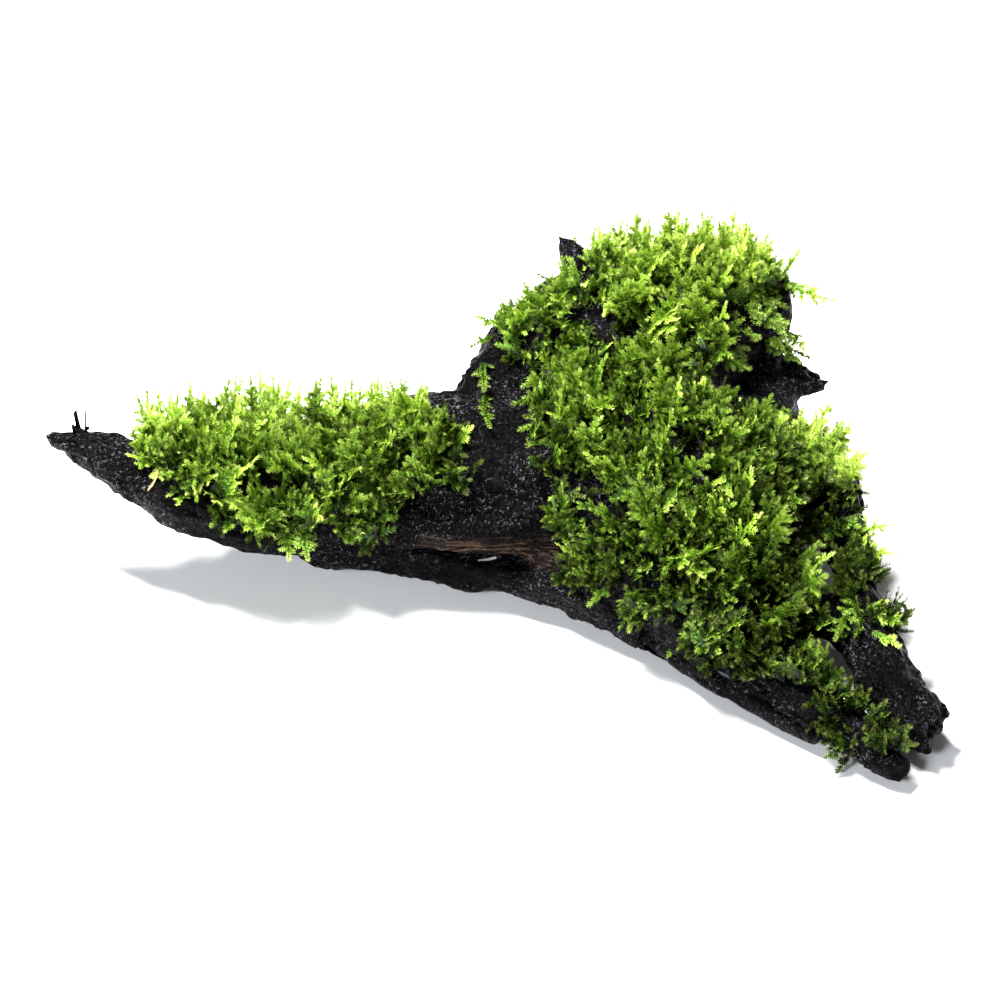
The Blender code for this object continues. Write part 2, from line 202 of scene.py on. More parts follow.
# Single shoots that stray from the cushions: the piece they join, foot, tip, and how bright.
STRAYS = (
    ("moss_crown", (85.2, 68.6, 60.0), (89.0, 70.9, 66.0), 0.8),
    ("moss_crown", (85.1, 65.0, 58.0), (97.3, 55.8, 58.0), 0.75),
    ("moss_crown", (84.8, 54.3, 50.0), (90.0, 47.5, 48.0), 0.7),
    ("moss_crown", (74.1, 67.8, 64.0), (74.3, 71.3, 74.0), 0.9),
    ("moss_crown", (78.0, 66.3, 63.0), (80.1, 70.1, 70.0), 0.85),
    ("moss_crown", (68.4, 69.9, 66.0), (66.8, 70.3, 76.0), 0.9),
    ("moss_crown", (61.2, 70.0, 68.0), (62.2, 71.4, 78.0), 0.9),
    ("moss_crown", (52.3, 69.1, 70.0), (50.8, 69.4, 80.0), 0.9),
    ("moss_crown", (43.2, 67.6, 70.0), (41.2, 68.9, 79.0), 0.85),
    ("moss_crown", (25.6, 65.0, 66.0), (24.7, 65.3, 74.0), 0.5),
    ("moss_crown", (2.4, 58.1, 50.0), (-3.3, 59.7, 51.0), 0.5),
    ("moss_crown", (1.3, 54.6, 48.0), (-5.0, 51.2, 47.0), 0.4),
    ("moss_crown", (-1.5, 47.0, 44.0), (-0.4, 31.7, 46.4), 0.22),
    ("moss_crown", (-0.4, 35.0, 43.0), (-0.3, 23.0, 47.0), 0.20),
    ("moss_crown", (-0.4, 26.0, 44.0), (-0.3, 15.4, 47.0), 0.28),
    ("moss_trunk", (86.7, 17.5, 36.0), (96.1, 27.4, 44.0), 0.95),
    ("moss_trunk", (83.9, 17.5, 36.0), (87.4, 26.1, 44.0), 0.9),
    ("moss_trunk", (96.7, 7.3, 30.0), (104.7, 15.3, 36.0), 0.85),
    ("moss_trunk", (83.9, -1.1, 22.0), (91.5, -7.8, 22.0), 0.6),
    ("moss_trunk", (84.5, -8.8, 20.0), (92.5, -11.3, 20.0), 0.55),
    ("moss_trunk", (84.9, -18.5, 18.0), (93.0, -23.6, 20.0), 0.6),
    ("moss_outer_root", (100.6, -8.9, 24.0), (109.9, -14.5, 26.0), 0.9),
    ("moss_outer_root", (100.8, -4.9, 26.0), (108.9, -7.1, 30.0), 0.9),
    ("moss_outer_root", (102.0, -29.9, 21.0), (108.2, -38.5, 22.0), 0.8),
    ("moss_outer_root", (102.1, -39.4, 20.0), (109.0, -44.9, 20.0), 0.8),
    ("moss_outer_root", (97.5, -25.0, 22.0), (98.4, -39.4, 20.0), 0.30),
    ("moss_outer_root", (96.1, -29.0, 22.0), (92.3, -42.5, 20.0), 0.34),
    ("moss_outer_root", (99.7, -36.6, 21.0), (103.7, -46.2, 18.0), 0.28),
    ("moss_left_arm", (-50.5, -13.5, 28.0), (-49.0, -17.8, 25.0), 0.35),
    ("moss_left_arm", (-54.7, -11.4, 28.0), (-52.6, -16.4, 25.6), 0.45),
    ("moss_inner_root", (41.3, -24.6, 18.0), (37.9, -32.2, 14.0), 0.5),
    ("moss_inner_root", (33.3, -20.7, 20.0), (27.9, -24.8, 16.0), 0.5),
    ("moss_inner_root", (51.9, -32.2, 14.0), (48.5, -37.7, 10.0), 0.5),
    ("moss_inner_root", (61.3, -36.1, 14.0), (63.1, -44.3, 10.0), 0.75),
    ("moss_inner_root", (30.6, -15.1, 24.0), (25.2, -17.7, 22.0), 0.5),
)

# Rows of shoots along the cushions' edges: the piece, the line of their feet, the line of their tips, how
# many, and how bright.
FRINGES = (
    ("moss_left_arm",
     ((-95.5, 20.5, 36.5), (-84.0, 21.0, 35.0), (-71.6, 21.5, 34.1), (-57.5, 19.3, 35.9),
      (-43.7, 21.2, 36.5), (-29.7, 21.9, 38.9), (-15.3, 22.4, 41.2)),
     ((-97.0, 27.5, 46.5), (-84.0, 29.5, 47.5), (-71.5, 31.5, 49.0), (-57.5, 30.0, 52.4),
      (-43.0, 30.0, 50.5), (-28.0, 30.0, 51.4), (-15.1, 27.0, 49.2)),
     56, 0.66),
    ("moss_crown",
     ((29.4, 56.2, 67.4), (43.4, 69.0, 63.2), (57.0, 70.0, 62.0), (70.0, 68.0, 63.0), (77.8, 63.4, 63.7)),
     ((31.0, 65.0, 77.4), (43.0, 77.0, 73.0), (57.0, 78.5, 73.0), (71.5, 76.5, 75.0), (79.3, 66.0, 70.0)),
     44, 0.76),
    ("moss_crown",
     ((5.0, 50.2, 47.8), (12.1, 54.3, 53.5), (20.5, 57.3, 58.3), (27.4, 54.4, 65.6)),
     ((0.2, 49.7, 56.2), (7.8, 53.8, 60.8), (17.0, 56.5, 68.5), (23.7, 58.4, 74.0)),
     18, 0.62),
    ("moss_crown",
     ((73.5, 57.7, 61.5), (76.6, 49.3, 57.2), (82.0, 54.4, 44.6)),
     ((79.8, 48.3, 58.6), (85.1, 45.6, 51.2), (90.8, 50.6, 40.0)),
     14, 0.40),
    ("moss_crown",
     ((66.0, 54.9, 61.4), (64.9, 43.3, 58.1), (65.5, 38.7, 51.8)),
     ((77.5, 49.4, 59.9), (75.4, 45.1, 52.6), (72.8, 41.1, 44.4)),
     12, 0.55),
    ("moss_crown",
     ((71.4, 60.4, 62.3), (74.7, 58.7, 62.2)),
     ((78.7, 52.1, 62.0), (81.5, 51.1, 60.8)),
     6, 0.60),
    ("moss_crown",
     ((73.0, 62.0, 64.0), (78.4, 61.2, 64.2), (84.0, 58.5, 62.7)),
     ((77.0, 60.0, 73.0), (82.6, 60.4, 72.6), (88.9, 58.6, 60.1)),
     8, 0.70),
    ("moss_trunk",
     ((19.4, 41.5, 42.7), (17.9, 23.9, 45.0), (18.9, 11.1, 42.5)),
     ((11.4, 37.8, 44.4), (9.1, 18.2, 47.7), (10.7, 9.5, 42.4)),
     16, 0.42),
    ("moss_trunk",
     ((85.2, 15.8, 34.5), (92.5, 10.8, 31.4), (97.8, 5.8, 28.5)),
     ((87.1, 21.0, 45.0), (98.0, 19.0, 44.0), (105.0, 11.0, 37.5)),
     18, 0.85),
)

# The camera looks at this point from this far and high, with a long lens.
AIM = Vector((3.56, 14.98, 20.0))
CAMERA_HEIGHT_DEG = 40
CAMERA_DISTANCE = 777.8
LENS = 100
SEES_AS_FAR_AS = 20000.0
# The floor's half width and how far it lies under the piece, the two square lights, and the room's light.
FLOOR_HALF = 4000.0
FLOOR_DROP = 0.3
TOP_LIGHT = (-240, 160, 780)
TOP_WATTS = 37.0
FRONT_LIGHT = (-420, -640, 520)
FRONT_WATTS = 8.0
SOFTBOX = 220
ROOM_LIGHT = 0.145


# Noise on arrays of points.

def cell_values(cells, seed):
    """A steady number from 0 to 1 for every whole-numbered cell. Large odd numbers mix the bits."""
    mixed = cells[:, 0] * 73856093 ^ cells[:, 1] * 19349663 ^ cells[:, 2] * 83492791 ^ seed * 26544357
    mixed = (mixed ^ mixed >> 13) * 1274126177
    return ((mixed ^ mixed >> 16) & 0xFFFF) / 0xFFFF


def noise_at(points, size, seed=0):
    """Smooth noise from -1 to 1. size is one length, or one for each axis."""
    places = points / np.asarray(size, dtype=float)
    low = np.floor(places).astype(np.int64)
    part = places - low
    part = part * part * (3 - 2 * part)
    total = np.zeros(len(points))
    for corner in range(8):
        step = np.array((corner & 1, corner >> 1 & 1, corner >> 2 & 1))
        weight = np.prod(np.where(step, part, 1 - part), axis=1)
        total += weight * cell_values(low + step, seed)
    return 2 * total - 1


def turned(points, along):
    """The points' places along a direction and across it, as an array of three columns."""
    along = Vector(along).normalized()
    side = along.cross(Vector((0, 0, 1))).normalized()
    return points @ np.array((along, side, side.cross(along))).T


# Mesh helpers.

def new_object(name, mesh):
    obj = bpy.data.objects.new(name, mesh)
    bpy.context.scene.collection.objects.link(obj)
    return obj


def discard(obj):
    mesh = obj.data
    bpy.data.objects.remove(obj)
    bpy.data.meshes.remove(mesh)


def settled(obj):
    """A new mesh of the object as its modifiers make it."""
    bpy.context.view_layer.update()
    graph = bpy.context.evaluated_depsgraph_get()
    return bpy.data.meshes.new_from_object(obj.evaluated_get(graph))


def points_of(mesh):
    flat = np.empty(len(mesh.vertices) * 3, dtype=np.float32)
    mesh.vertices.foreach_get("co", flat)
    return flat.reshape(-1, 3).astype(float) / MM


def cad_tree(name):
    node = frame["nodes"][name]
    corners = [node.matrix_world @ vert.co for vert in node.data.vertices]
    return BVHTree.FromPolygons(corners, [list(face.vertices) for face in node.data.polygons])


def joined_nodes(names, swell=0.0):
    """One object that holds copies of the CAD nodes' meshes, each grown outward by swell."""
    joined = bmesh.new()
    for name in names:
        node = frame["nodes"][name]
        copy = node.data.copy()
        copy.transform(node.matrix_world)
        moves = [vert.co + vert.normal * swell * MM for vert in copy.vertices]
        for vert, place in zip(copy.vertices, moves):
            vert.co = place
        joined.from_mesh(copy)
        bpy.data.meshes.remove(copy)
    mesh = bpy.data.meshes.new("joined")
    joined.to_mesh(mesh)
    joined.free()
    return new_object("joined", mesh)


# The wood.

def fine_skin(names, voxel, turns):
    """One smooth closed skin over the wood's CAD pieces. It bridges their saw gaps."""
    rough = joined_nodes(names, SKIN_SWELL)
    remesh = rough.modifiers.new("skin", "REMESH")
    remesh.mode = "VOXEL"
    remesh.voxel_size = voxel * MM
    soft = rough.modifiers.new("soft", "SMOOTH")
    soft.factor = 0.5
    soft.iterations = turns
    skin = settled(rough)
    discard(rough)
    drop_crumbs(skin)
    return skin


def drop_crumbs(mesh):
    """Keeps only the largest body of the mesh."""
    work = bmesh.new()
    work.from_mesh(mesh)
    left = set(work.verts)
    bodies = []
    while left:
        front = [left.pop()]
        body = list(front)
        while front:
            for edge in front.pop().link_edges:
                for vert in edge.verts:
                    if vert in left:
                        left.remove(vert)
                        front.append(vert)
                        body.append(vert)
        bodies.append(body)
    bodies.sort(key=len)
    for body in bodies[:-1]:
        bmesh.ops.delete(work, geom=body, context="VERTS")
    work.to_mesh(mesh)
    work.free()


def grain_height(points):
    """How far the wrinkles, cracks and lumps raise each point."""
    to_trunk = np.clip((points[:, 0] + 10) / 40, 0, 1)
    to_crown = np.clip((points[:, 2] - 34) / 16, 0, 1) * to_trunk
    height = np.zeros(len(points))
    ways = (
        (ARM_GRAIN, 1 - to_trunk),
        (TRUNK_GRAIN, to_trunk - to_crown),
        (CROWN_GRAIN, to_crown),
    )
    for number, (way, share) in enumerate(ways):
        place = turned(points, way)
        sway = noise_at(place, (14, 9, 9), 11 + number)
        place = place + np.outer(sway, (0, 1.6, 1.6))
        wrinkle = 1 - 2.2 * np.abs(noise_at(place, (16, 3.4, 3.4), 21 + number))
        fine = 1 - 2.2 * np.abs(noise_at(place, (6, 1.7, 1.7), 31 + number))
        rift = np.abs(noise_at(place, (30, 5.5, 5.5), 41 + number))
        cracked = np.clip(noise_at(place, (22, 8, 8), 51 + number) + 0.3, 0, 1)
        crack = np.clip(1 - rift / 0.06, 0, 1) * cracked
        height += share * (WRINKLE * 0.5 * wrinkle + FINE_WRINKLE * 0.5 * fine - CRACK * crack)
    height += LUMP * (noise_at(points, 9, 3) * 0.6 + noise_at(points, 4.2, 4) * 0.4)
    return height + PEBBLE * noise_at(points, 1.5, 5)


def broken_ends(points):
    """How far the splinters of the broken ends carry each point."""
    moves = np.zeros_like(points)
    for place, way, reach, stand in BROKEN_ENDS:
        way = np.array(Vector(way).normalized())
        near = np.exp(-(np.linalg.norm(points - place, axis=1) / reach) ** 2)
        place = turned(points, way)
        bundle = noise_at(place, (60, 3.8, 3.8), 7) + 0.3 * noise_at(place, (30, 1.5, 1.5), 8)
        moves += (near * stand * bundle)[:, None] * way
    return moves


def clear_of_sliver(points):
    """Holds the points of the wood away from the split-off strip, so that a dark gap shows along it."""
    strip = cad_tree("driftwood_front_sliver")
    (left, front), (right, back) = SLIVER_BOX
    for index, point in enumerate(points):
        if not (left < point[0] < right and front < point[1] < back):
            continue
        spot, normal, face, away = strip.find_nearest(Vector(point) * MM, 10 * MM)
        if spot is None:
            continue
        clear = (Vector(point) * MM - spot).dot(normal) / MM
        if clear < SLIVER_GAP:
            points[index] = (spot / MM) + normal * (clear + (SLIVER_GAP - clear) * 0.9)


def raise_grain(skin, is_body):
    """Moves the skin by its grain. The body keeps clear of the strip, and the strip's grain is lower."""
    points = points_of(skin)
    normals = np.empty(len(points) * 3, dtype=np.float32)
    skin.vertices.foreach_get("normal", normals)
    height = grain_height(points) * (1.0 if is_body else SLIVER_GRAIN)
    horn = np.exp(-(np.linalg.norm(points - HORN, axis=1) / HORN_REACH) ** 2)
    knob = np.exp(-(np.linalg.norm(points - KNOB, axis=1) / KNOB_REACH) ** 2)
    height = height * (1 - HORN_SMOOTHER * horn) - HORN_SLIMMER * horn
    height += KNOB_LUMP * knob * noise_at(points, 4.5, 6)
    off_ground = np.clip(points[:, 2] / 3, 0, 1)[:, None]
    moved = points + normals.reshape(-1, 3) * (height[:, None] * off_ground)
    moved += broken_ends(points) * off_ground
    moved[:, 2] = np.maximum(moved[:, 2], 0)
    tip = moved[:, 0] < SPLINTER_X
    moved[tip, 2] = np.minimum(moved[tip, 2], SPLINTER_Z)
    if is_body:
        clear_of_sliver(moved)
    skin.vertices.foreach_set("co", (moved * MM).astype(np.float32).ravel())
    skin.update()


def close_holes(mesh):
    """Closes every open edge loop with a fan of triangles."""
    loose = [edge for edge in mesh.edges if len(edge.link_faces) == 1]
    next_of = {}
    for edge in loose:
        loop = edge.link_loops[0]
        next_of.setdefault(loop.link_loop_next.vert, []).append(loop.vert)
    while next_of:
        start = next(iter(next_of))
        ring = [start]
        while True:
            onward = next_of[ring[-1]]
            vert = onward.pop()
            if not onward:
                del next_of[ring[-1]]
            if vert is start or vert not in next_of:
                break
            ring.append(vert)
        if len(ring) < 3:
            continue
        hub = mesh.verts.new(sum((vert.co for vert in ring), Vector()) / len(ring))
        for one, two in zip(ring, ring[1:] + ring[:1]):
            if mesh.faces.get((one, two, hub)) is None:
                mesh.faces.new((one, two, hub))
                mesh.edges.get((one, two)).smooth = False


def add_splinters(piece):
    """Joins the flat, slantwise broken splinters to the arm's wood."""
    work = bmesh.new()
    work.from_mesh(piece.data)
    for foot, top, wide, thick in SPLINTERS:
        made = bmesh.ops.create_cube(work, size=2.0)["verts"]
        low, high = Vector(foot), Vector(top)
        for vert in made:
            at = (vert.co.z + 1) / 2
            slant = Vector((0, 0, vert.co.x * wide * 0.9 * at))
            bow = Vector((0.25 * math.sin(3 * at), 0, 0))
            side = Vector((vert.co.x * wide * (1 - 0.25 * at), vert.co.y * thick, 0))
            vert.co = (low.lerp(high, at) + side + slant + bow) * MM
        edges = {edge for vert in made for edge in vert.link_edges}
        uprights = [edge for edge in edges if abs(edge.verts[1].co.z - edge.verts[0].co.z) > 2 * MM]
        bmesh.ops.subdivide_edges(work, edges=uprights, cuts=6, use_grid_fill=False)
    work.to_mesh(piece.data)
    work.free()


def add_straw(piece):
    """Joins the thin curved straw to the arm's wood."""
    work = bmesh.new()
    work.from_mesh(piece.data)
    low, high = Vector(STRAW[0]), Vector(STRAW[1])
    along = (high - low).normalized()
    side = along.cross(Vector((0, -0.6, 0.8))).normalized()
    rings = []
    for step in range(9):
        at = step / 8
        centre = low.lerp(high, at) + side * (0.5 * math.sin(math.pi * at))
        half = STRAW_HALF * (0.5 + 0.5 * math.sin(math.pi * (0.15 + 0.75 * at)))
        flat = side.cross(along) * half * 0.4
        corners = (side * half, flat, side * -half, -flat)
        rings.append([work.verts.new((centre + corner) * MM) for corner in corners])
    for one, two in zip(rings, rings[1:]):
        for k in range(4):
            work.faces.new((one[k], one[k - 3], two[k - 3], two[k]))
    work.faces.new(rings[0][::-1])
    work.faces.new(rings[-1])
    bmesh.ops.recalc_face_normals(work, faces=work.faces)
    work.to_mesh(piece.data)
    work.free()


def wood_pieces(skin, names):
    """Cuts the skin into one closed piece for each of the named CAD nodes."""
    trees = [cad_tree(name) for name in names]
    whole = bmesh.new()
    whole.from_mesh(skin)
    bmesh.ops.triangulate(whole, faces=whole.faces)
    whole.faces.ensure_lookup_table()
    owner = []
    for face in whole.faces:
        spot = face.calc_center_median()
        owner.append(min(range(len(trees)), key=lambda k: trees[k].find_nearest(spot)[3]))
    made = []
    for number, name in enumerate(names):
        part = whole.copy()
        part.faces.ensure_lookup_table()
        others = [part.faces[i] for i, k in enumerate(owner) if k != number]
        bmesh.ops.delete(part, geom=others, context="FACES")
        for face in part.faces:
            face.smooth = True
        close_holes(part)
        bmesh.ops.recalc_face_normals(part, faces=part.faces)
        mesh = bpy.data.meshes.new(name.replace("driftwood", "wood"))
        part.to_mesh(mesh)
        part.free()
        made.append(new_object(mesh.name, mesh))
    whole.free()
    return made


# Node helpers.

def pick(sockets, name):
    """The socket of that name that is in use."""
    return next(one for one in sockets if one.name == name and one.enabled)


def add(tree, kind, inputs=None, **settings):
    """A node with its settings, and with each named input set to a value or joined to a socket."""
    node = tree.nodes.new(kind)
    for name, value in settings.items():
        setattr(node, name, value)
    for name, value in (inputs or {}).items():
        target = node.inputs[name] if isinstance(name, int) else pick(node.inputs, name)
        if isinstance(value, bpy.types.NodeSocket):
            tree.links.new(value, target)
        else:
            target.default_value = value
    return node


def maths(tree, operation, *values):
    """The result of a Math node."""
    node = add(tree, "ShaderNodeMath", dict(enumerate(values)), operation=operation)
    return node.outputs[0]


def vectors(tree, operation, *values, scale=None):
    """The result of a Vector Math node."""
    inputs = dict(enumerate(values))
    if scale is not None:
        inputs["Scale"] = scale
    node = add(tree, "ShaderNodeVectorMath", inputs, operation=operation)
    return pick(node.outputs, "Value" if operation in ("LENGTH", "DOT_PRODUCT") else "Vector")


def plus_share(tree, total, value, share):
    """The total with a share of another value added."""
    return maths(tree, "ADD", total, maths(tree, "MULTIPLY", value, share))


def held_between(tree, value, low, high):
    """The value, but never under low or over high."""
    return maths(tree, "MINIMUM", maths(tree, "MAXIMUM", value, low), high)


def random_value(tree, low, high, seed, kind="FLOAT"):
    """A steady random number or vector for every point."""
    node = add(tree, "FunctionNodeRandomValue", {"Min": low, "Max": high, "Seed": seed}, data_type=kind)
    return pick(node.outputs, "Value")


# The moss shoots.

def add_leaf(leaves, root, way, across, length, width, age_and_shade, tone):
    """One pointed leaf: three corners, each with a place and a spot on the leaf map.

    The map's first number is the leaf's own tone, and its second runs from 0 for old to 1 for young; the
    colour drawn from it is dark at the old end, partly as painted shade deep in the mat.
    """
    half = across * (0.5 * width)
    leaves.append((
        (root - half, (tone, age_and_shade)), (root + half, (tone + 0.06, age_and_shade + 0.04)),
        (root + way * length, (tone + 0.03, age_and_shade + 0.26))))


def add_twig(leaves, dice, start, way, flat, length, age_and_shade_from, age_and_shade_to):
    """Leaves all round a thin stem, and returns points along the stem."""
    across = way.cross(flat).normalized()
    count = max(3, round(length / LEAF_STEP))
    bend = flat * dice.uniform(-0.16, 0.10) + across * dice.uniform(-0.12, 0.12)
    line = []
    for i in range(count + 1):
        line.append(start + way * (length * i / count) + bend * (length * (i / count) ** 2))
    for i in range(count):
        t = i / count
        age_and_shade = age_and_shade_from + (age_and_shade_to - age_and_shade_from) * t
        ahead = (line[i + 1] - line[i]).normalized()
        size = (1.0 - 0.28 * t * t) * dice.uniform(0.8, 1.2)
        for hand, rise in ((-1, -0.1), (1, 0.1), (dice.uniform(-0.5, 0.5), 0.9)):
            if rise > 0.5 and i % 2:
                continue
            lean = across * hand + flat * (rise + dice.uniform(-0.2, 0.2))
            point = (ahead * dice.uniform(0.75, 1.1) + lean).normalized()
            wide = point.cross(flat + across * dice.uniform(-0.3, 0.3)).normalized()
            foot = line[i] + ahead * (LEAF_STEP * dice.uniform(0, 0.8))
            tone = dice.uniform(0.0, 0.9)
            add_leaf(leaves, foot, point, wide, LEAF_LENGTH * size, LEAF_WIDTH * size, age_and_shade, tone)
    for hand in (-0.35, 0.35):
        point = ((line[-1] - line[-2]).normalized() + across * hand).normalized()
        tone = dice.uniform(0.0, 0.9)
        add_leaf(leaves, line[-1], point, across, LEAF_LENGTH * 0.7, LEAF_WIDTH * 0.6, age_and_shade_to, tone)
    return line


def add_stem(leaves, line):
    """A thin two-sided strip along the stem."""
    for low, high in zip(line[::3], line[3::3]):
        half = Vector((0.13, 0, 0))
        leaves.append(((low - half, (0.0, 0.0)), (low + half, (0.04, 0.0)), (high, (0.02, 0.04))))


def shoot_mesh(name, length, seed, spread=1.0, age_and_shade=0.02):
    """A flat feathery shoot along +Z that faces +Y. Spread scales its twigs, and the last number is its
    foot's age and shade.
    """
    dice = random.Random(seed)
    leaves = []
    out = Vector((0, 1, 0))
    line = add_twig(leaves, dice, Vector(), Vector((0, 0, 1)), out, length, age_and_shade, 0.74)
    add_stem(leaves, line)
    at = dice.uniform(0.8, 1.6)
    hand = dice.choice((-1, 1))
    while at < length - 1.6:
        here = line[round(at / length * (len(line) - 1))]
        reach = min(0.62 * (length - at), TWIG_REACH) * dice.uniform(0.6, 1.2) * spread
        if reach > 1.3 and dice.random() > 0.08:
            side = hand * dice.uniform(0.6, 1.05)
            way = Vector((side, dice.uniform(-0.35, 0.35), dice.uniform(0.5, 0.9))).normalized()
            old = age_and_shade + 0.03 + (0.58 - age_and_shade) * at / length
            young = min(old + 0.4, 0.74)
            twig = add_twig(leaves, dice, here, way, out, reach, old, young)
            if reach > FORK_REACH:
                fork = (way + Vector((-side, 0.2, 0.5)) * 0.7).normalized()
                add_twig(leaves, dice, twig[len(twig) // 3], fork, out, 0.5 * reach, old + 0.1, young)
        hand = -hand
        at += TWIG_STEP * dice.uniform(0.75, 1.25)
    mesh = bpy.data.meshes.new(name)
    corners = [corner for leaf in leaves for corner in leaf]
    faces = [(3 * i, 3 * i + 1, 3 * i + 2) for i in range(len(leaves))]
    mesh.from_pydata([place * MM for place, spot in corners], [], faces)
    leaf_map = mesh.uv_layers.new(name="leaf")
    leaf_map.data.foreach_set("uv", [value for place, spot in corners for value in spot])
    return mesh


def shoot_collection():
    """Every kind of shoot, shortest first, in a collection that isn't shown."""
    kinds = bpy.data.collections.new("shoots")
    for size, length in enumerate(SHOOT_LENGTHS):
        for turn in range(SHOOTS_OF_EACH):
            mesh = shoot_mesh(f"shoot_{size}_{turn}", length, 10 * size + turn)
            kinds.objects.link(bpy.data.objects.new(mesh.name, mesh))
    return kinds


def moss_tree(kinds, leaf):
    """Shoots that grow from a cushion's underside as far as its outer skin."""
    tree = bpy.data.node_groups.new("moss growth", "GeometryNodeTree")
    face = tree.interface
    face.new_socket("Cushion", in_out="INPUT", socket_type="NodeSocketGeometry")
    face.new_socket("Wood", in_out="INPUT", socket_type="NodeSocketObject")
    face.new_socket("Spacing", in_out="INPUT", socket_type="NodeSocketFloat")
    face.new_socket("Seed", in_out="INPUT", socket_type="NodeSocketInt")
    face.new_socket("Moss", in_out="OUTPUT", socket_type="NodeSocketGeometry")
    given = add(tree, "NodeGroupInput").outputs

    wood = add(tree, "GeometryNodeObjectInfo", {"Object": given["Wood"]}, transform_space="ORIGINAL")
    to_wood = add(tree, "GeometryNodeProximity", {"Geometry": wood.outputs["Geometry"]})
    under = maths(tree, "LESS_THAN", to_wood.outputs["Distance"], UNDERSIDE_REACH * MM)
    position = add(tree, "GeometryNodeInputPosition").outputs[0]
    thicket = add(tree, "ShaderNodeTexNoise", {"Vector": position, "Scale": THICKET_SCALE, "Detail": 1.0})
    crowd = add(tree, "ShaderNodeMapRange", {
        "Value": thicket.outputs[0], "From Min": THICKET_EDGES[0], "From Max": THICKET_EDGES[1],
        "To Min": THINNEST_SHARE, "To Max": 1.0})
    scatter = add(tree, "GeometryNodeDistributePointsOnFaces", {
        "Mesh": given["Cushion"], "Selection": under, "Distance Min": given["Spacing"],
        "Density Max": SHOOTS_PER_SQUARE_METRE, "Density Factor": crowd.outputs[0],
        "Seed": given["Seed"]}, distribute_method="POISSON")
    outward = vectors(tree, "SCALE", scatter.outputs["Normal"], scale=-1.0)

    off_wood = vectors(tree, "SCALE", outward, scale=vectors(tree, "DOT_PRODUCT", outward, DOWNHILL))
    downhill = vectors(tree, "SUBTRACT", DOWNHILL, off_wood)
    stray = random_value(tree, *STRAY, 3, "FLOAT_VECTOR")
    sag = vectors(tree, "SCALE", downhill, scale=random_value(tree, 0.0, GREATEST_SAG, 4))
    way = vectors(tree, "ADD", vectors(tree, "SCALE", outward, scale=OUTWARD_SHARE), sag)
    way = vectors(tree, "NORMALIZE", vectors(tree, "ADD", way, stray))

    start = vectors(tree, "ADD", position, vectors(tree, "SCALE", way, scale=0.4 * MM))
    ray = add(tree, "GeometryNodeRaycast", {
        "Target Geometry": given["Cushion"], "Source Position": start, "Ray Direction": way,
        "Ray Length": ROOM_REACH * MM})
    outgoing = vectors(tree, "DOT_PRODUCT", ray.outputs["Hit Normal"], way)
    leaving = maths(tree, "GREATER_THAN", outgoing, 0.0)
    inside = maths(tree, "MULTIPLY", ray.outputs["Is Hit"], leaving)
    room = maths(tree, "MULTIPLY", maths(tree, "MULTIPLY", ray.outputs["Hit Distance"], 1.0 / MM), inside)
    slope = add(tree, "ShaderNodeSeparateXYZ", {0: way}).outputs[2]
    rise = maths(tree, "MAXIMUM", slope, 0.0)
    fall = maths(tree, "MAXIMUM", maths(tree, "MULTIPLY", slope, -1.0), 0.0)
    vigour = random_value(tree, 0.0, 1.0, 5)
    most = maths(tree, "MULTIPLY", plus_share(tree, ROOM_FILLED, rise, ROOM_FILLED_RISING),
                 plus_share(tree, WEAK_SHARE, vigour, VIGOUR_SHARE))
    least = plus_share(tree, random_value(tree, *LEAST_LENGTH, 9), rise, LEAST_RISING)
    greatest = plus_share(tree, GREATEST_LENGTH, fall, -GREATEST_FALLING)
    wish = maths(tree, "MAXIMUM", maths(tree, "MULTIPLY", room, most), least)
    wish = maths(tree, "MINIMUM", wish, greatest)
    size = 0.0
    for length in LONGER_PAST:
        size = maths(tree, "ADD", size, maths(tree, "GREATER_THAN", wish, length))
    which = random_value(tree, 0, SHOOTS_OF_EACH - 1, 6, "INT")
    index = plus_share(tree, which, size, float(SHOOTS_OF_EACH))
    usual = plus_share(tree, SAMPLE_LENGTH, size, SAMPLE_STEP)
    scale = held_between(tree, maths(tree, "DIVIDE", wish, usual), *SAMPLE_SCALES)

    stand = add(tree, "FunctionNodeAlignRotationToVector", {"Vector": way}, axis="Z")
    face_out = add(tree, "FunctionNodeAlignRotationToVector", {
        "Rotation": stand.outputs[0], "Vector": vectors(tree, "ADD", outward, (0.0, -0.3, 0.2))},
        axis="Y", pivot_axis="Z")
    spin = add(tree, "FunctionNodeAxisAngleToRotation", {
        "Axis": (0.0, 0.0, 1.0), "Angle": random_value(tree, -GREATEST_TURN, GREATEST_TURN, 7)})
    aim = add(tree, "FunctionNodeRotateRotation", {
        "Rotation": face_out.outputs[0], "Rotate By": spin.outputs[0]}, rotation_space="LOCAL")

    shoots = add(tree, "GeometryNodeCollectionInfo", {
        "Collection": kinds, "Separate Children": True, "Reset Children": True})
    grown = add(tree, "GeometryNodeInstanceOnPoints", {
        "Points": scatter.outputs["Points"], "Instance": shoots.outputs[0], "Pick Instance": True,
        "Instance Index": index, "Rotation": aim.outputs[0], "Scale": scale})

